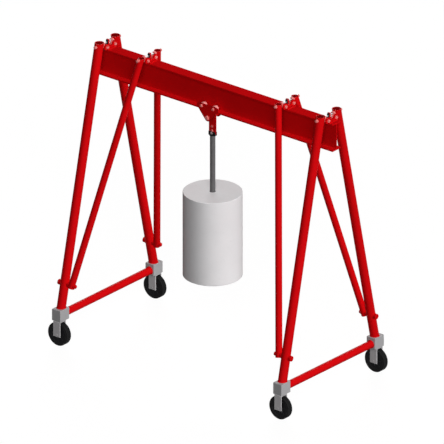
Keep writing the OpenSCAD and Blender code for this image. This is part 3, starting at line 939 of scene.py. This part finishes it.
class CRANE_OT_swivels(bpy.types.Operator):
    """Swivel races and caps between forks and blocks, axle ends and axle sleeves"""

    bl_idname = "crane.swivels"
    bl_label = "Swivels and axle ends"

    def execute(self, context):
        s = sizes("wheels")
        for name in CORNER_NAMES:
            axle, reach = middle("axle_" + name), half("axle_" + name)
            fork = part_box("fork_" + name)
            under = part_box("corner_block_" + name)[0].z
            crown = under - SWIVEL_GAP
            up = facing((axle.x, axle.y, 0), (0, 0, 1))
            bm = bmesh.new()
            turned(bm, [(RACE_BORE, crown), (s.race_radius, crown), (s.race_radius, crown + 0.0012),
                        (s.race_radius - 0.0008, crown + 0.0019), (RACE_BORE, crown + 0.0019)], up, 56)
            piece(bm, "swivel_race_" + name, "ground_spindle", "caster_" + name)
            bm = bmesh.new()
            turned(bm, [(CAP_BORE, under), (CAP_BORE, crown + 0.0031),
                        (s.race_radius - 0.0008, crown + 0.0031), (s.race_radius, crown + 0.0038),
                        (s.race_radius, under)], up, 56)
            piece(bm, "swivel_cap_" + name, "fork_enamel", "frame")
            bm = bmesh.new()
            wheel = half("wheel_" + name).y
            arm = (fork[1].y - fork[0].y) / 2
            for end in (-1, 1):
                place = facing(axle, (0, end, 0))
                turned(bm, [(0, reach.y - 0.0006), (0.0022, reach.y + 0.0006), (0.0072, reach.y + 0.0009),
                            (0.0094, reach.y + 0.0003), (0.0100, reach.y - 0.0008), (0, reach.y - 0.0012)],
                       place, 32, closed=False)
                ring(bm, reach.z + 0.0001, 0.0135, wheel + 0.0006, arm - ARM_INSIDE, place)
            piece(bm, "axle_ends_" + name, "fork_enamel", "caster_" + name)
        return {"FINISHED"}


class CRANE_OT_rollers(bpy.types.Operator):
    """Turned trolley wheels with bearing shields"""

    bl_idname = "crane.rollers"
    bl_label = "Trolley wheels"

    def execute(self, context):
        for name in CORNER_NAMES:
            node = "roller_" + name
            at, size = middle(node), half(node)
            r, w = size.z, size.y
            one = [(0.0081, w - 0.0025), (0.0115, w - 0.0025), (0.0115, w - 0.0012), (0.0185, w - 0.0012),
                   (0.0185, w - 0.0022), (0.0205, w - 0.0022), (0.0205, w), (r - 0.002, w),
                   (r - 0.0005, w - 0.0012), (r, w - 0.003), (r, w * 0.3)]
            bm = bmesh.new()
            turned(bm, mirrored(one), facing(at, (0, 1, 0)), 64)
            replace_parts(piece(bm, "trolley_wheel_" + name, "turned_roller", node), node)
        return {"FINISHED"}


class CRANE_OT_trolley_bolts(bpy.types.Operator):
    """Bolt heads on the side plates, nuts and spacers on the cross bolt"""

    bl_idname = "crane.trolley_bolts"
    bl_label = "Trolley bolts"

    def execute(self, context):
        s = sizes("fasteners")
        cross, reach = middle("cross_bolt"), half("cross_bolt")
        for end, sy in (("front", -1), ("rear", 1)):
            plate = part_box("trolley_plate_" + end)
            face = max(abs(plate[0].y), abs(plate[1].y))
            bm = bmesh.new()
            for side in ("left", "right"):
                at = middle(f"roller_{side}_{end}")
                bolt_head(bm, facing((at.x, sy * face, at.z), (0, sy, 0)), s.plate_flats,
                          height=0.008, washer=0.026)
            nut = facing((cross.x, sy * face, cross.z), (0, sy, 0))
            ring(bm, reach.z + BORE_PLAY, 0.019, 0, CROSS_NUT[0], nut)
            hexagon(bm, s.cross_flats, *CROSS_NUT, nut, both=True)
            piece(bm, "plate_bolts_" + end, "rubbed_bolt", "trolley")
            bm = bmesh.new()
            strap = half("hanger_strap").y
            ring(bm, reach.z + BORE_PLAY, 0.018, strap + 0.0015, face - SPACER_END,
                 facing((cross.x, 0, cross.z), (0, sy, 0)), 0.001)
            piece(bm, "cross_spacer_" + end, "red_enamel", "trolley")
        return {"FINISHED"}


class CRANE_OT_hanger_bolts(bpy.types.Operator):
    """Bolts through the hanger strap and its clevis, and the weld round the rod"""

    bl_idname = "crane.hanger_bolts"
    bl_label = "Hanger bolts"

    def execute(self, context):
        s = sizes("fasteners")
        strap, thick = middle("hanger_strap"), half("hanger_strap").y
        bm = bmesh.new()
        for z in STRAP_BOLTS:
            front, rear = (facing((strap.x, sy * thick, z), (0, sy, 0)) for sy in (-1, 1))
            bolt_head(bm, front, s.strap_flats, height=0.0075, washer=0.021)
            nut_end(bm, rear, s.strap_flats, height=0.009, bolt=0.012, washer=0.024)
        # The strap bolts take the darker copy of the bolt finish, painted shade
        piece(bm, "strap_bolts", "shaded_bolt", "hanger")
        bm = bmesh.new()
        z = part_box("shackle")[1].z - CLEVIS_BOLT
        front, rear = (facing((strap.x, sy * CLEVIS_CHEEK, z), (0, sy, 0)) for sy in (-1, 1))
        bolt_head(bm, front, s.strap_flats, height=0.0075, washer=0.022)
        nut_end(bm, rear, s.strap_flats, height=0.009, bolt=0.012, washer=0.022)
        piece(bm, "clevis_bolt", "grey_bolt", "hanger")
        rod_r = half("load_rod").x
        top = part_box("load")[1].z

        def round_rod(angle):
            side = Vector((math.cos(angle), math.sin(angle), 0))
            return Vector((strap.x, 0, top)) + side * rod_r, side, Vector((0, 0, 1))

        bm = bmesh.new()
        bead_loop(bm, round_rod, sizes("frame").bead * 0.8, 40)
        piece(bm, "rod_weld", "drawn_rod", "hanger", 60)
        return {"FINISHED"}


def seen_rays(tree):
    """1 for the rays that see the background: camera, glossy and transmission rays."""
    path = add(tree, "ShaderNodeLightPath")
    mirror = calc(tree, "MAXIMUM", path.outputs["Is Camera Ray"], path.outputs["Is Glossy Ray"])
    return calc(tree, "MAXIMUM", mirror, path.outputs["Is Transmission Ray"])


class CRANE_OT_stage(bpy.types.Operator):
    """Pale floor, three soft lamps, even fill and the camera"""

    bl_idname = "crane.stage"
    bl_label = "Stage"

    def execute(self, context):
        s, scene = sizes("stage"), context.scene
        bm = bmesh.new()
        bmesh.ops.create_grid(bm, x_segments=1, y_segments=1, size=s.floor_size)
        mesh = bpy.data.meshes.new("floor")
        bm.to_mesh(mesh)
        bm.free()
        floor = bpy.data.objects.new("floor", mesh)
        scene.collection.objects.link(floor)
        paper = bpy.data.materials.new("floor_paper")
        paper.use_nodes = True
        tree = paper.node_tree
        tree.nodes.remove(tree.nodes["Principled BSDF"])
        soft = add(tree, "ShaderNodeBsdfDiffuse", {"Color": FLOOR_BOUNCE})
        pale = add(tree, "ShaderNodeBsdfDiffuse", {"Color": FLOOR_TONE})
        glow = add(tree, "ShaderNodeEmission", {"Color": (1, 1, 1, 1), "Strength": FLOOR_GLOW})
        shown = add(tree, "ShaderNodeAddShader", {0: pale.outputs[0], 1: glow.outputs[0]})
        seen = seen_rays(tree)
        mixed = add(tree, "ShaderNodeMixShader", {0: seen, 1: soft.outputs[0], 2: shown.outputs[0]})
        tree.links.new(mixed.outputs[0], tree.nodes["Material Output"].inputs["Surface"])
        mesh.materials.append(paper)

        world = bpy.data.worlds.new("studio")
        world.use_nodes = True
        scene.world = world
        tree = world.node_tree
        sky = tree.nodes["Background"]
        sky.inputs["Color"].default_value = (1, 1, 1, 1)
        tree.links.new(level(tree, seen_rays(tree), 0.0, 1.0, s.fill, 1.0), sky.inputs["Strength"])

        a, e = s.azimuth, s.elevation
        right = Vector((math.cos(a), math.sin(a), 0))
        back = Vector((math.sin(a) * math.cos(e), -math.cos(a) * math.cos(e), math.sin(e)))
        up = back.cross(right)
        for name, strength, way, shadow in (("front", s.front, back, True),
                                            ("side", s.side, SIDE_WAY, False),
                                            ("rear", s.rear, REAR_WAY, True)):
            lamp = bpy.data.lights.new(name, "SUN")
            lamp.energy, lamp.angle, lamp.use_shadow = strength, s.lamp_angle, shadow
            light = bpy.data.objects.new(name, lamp)
            light.rotation_mode = "QUATERNION"
            light.rotation_quaternion = Vector(way).to_track_quat("Z", "Y")
            scene.collection.objects.link(light)

        aim = Vector((0, 0, s.aim_height)) + right * s.shift_right + up * s.shift_up
        lens = bpy.data.cameras.new("camera")
        lens.type = "ORTHO"
        lens.ortho_scale = s.width
        camera = bpy.data.objects.new("camera", lens)
        camera.location = aim + back * CAMERA_AWAY
        camera.rotation_mode = "QUATERNION"
        camera.rotation_quaternion = back.to_track_quat("Z", "Y")
        scene.collection.objects.link(camera)
        scene.camera = camera
        scene.view_settings.view_transform = "Standard"
        return {"FINISHED"}


STEPS = (CRANE_OT_finishes, CRANE_OT_saddle_bolts, CRANE_OT_spindle_nuts, CRANE_OT_tube_caps,
         CRANE_OT_lug_plates, CRANE_OT_brace_nuts, CRANE_OT_welds, CRANE_OT_wheels, CRANE_OT_swivels,
         CRANE_OT_rollers, CRANE_OT_trolley_bolts, CRANE_OT_hanger_bolts, CRANE_OT_stage)
GROUPS = (("frame", CraneFrameSizes), ("fasteners", CraneFastenerSizes), ("wheels", CraneWheelSizes),
          ("finishes", CraneFinishes), ("stage", CraneStage))


class CRANE_PT_dressing(bpy.types.Panel):
    """Sizes, colours and steps of the gantry crane"""

    bl_idname = "CRANE_PT_dressing"
    bl_label = "Gantry Crane"
    bl_space_type = "VIEW_3D"
    bl_region_type = "UI"
    bl_category = "Gantry Crane"

    def draw(self, context):
        for name, group in GROUPS:
            box = self.layout.box()
            values = getattr(context.scene, "crane_" + name)
            for key in group.__annotations__:
                box.prop(values, key)
        for step in STEPS:
            self.layout.operator(step.bl_idname)


def register():
    for name, group in GROUPS:
        bpy.utils.register_class(group)
        setattr(bpy.types.Scene, "crane_" + name, PointerProperty(type=group))
    for step in STEPS:
        bpy.utils.register_class(step)
    bpy.utils.register_class(CRANE_PT_dressing)


def unregister():
    bpy.utils.unregister_class(CRANE_PT_dressing)
    for step in reversed(STEPS):
        bpy.utils.unregister_class(step)
    for name, group in reversed(GROUPS):
        delattr(bpy.types.Scene, "crane_" + name)
        bpy.utils.unregister_class(group)


def main():
    register()
    bpy.ops.crane.finishes()
    bpy.ops.crane.saddle_bolts()
    bpy.ops.crane.spindle_nuts()
    bpy.ops.crane.tube_caps()
    bpy.ops.crane.lug_plates()
    bpy.ops.crane.brace_nuts()
    bpy.ops.crane.welds()
    bpy.ops.crane.wheels()
    bpy.ops.crane.swivels()
    bpy.ops.crane.rollers()
    bpy.ops.crane.trolley_bolts()
    bpy.ops.crane.hanger_bolts()
    bpy.ops.crane.stage()


if __name__ == "__main__":
    main()
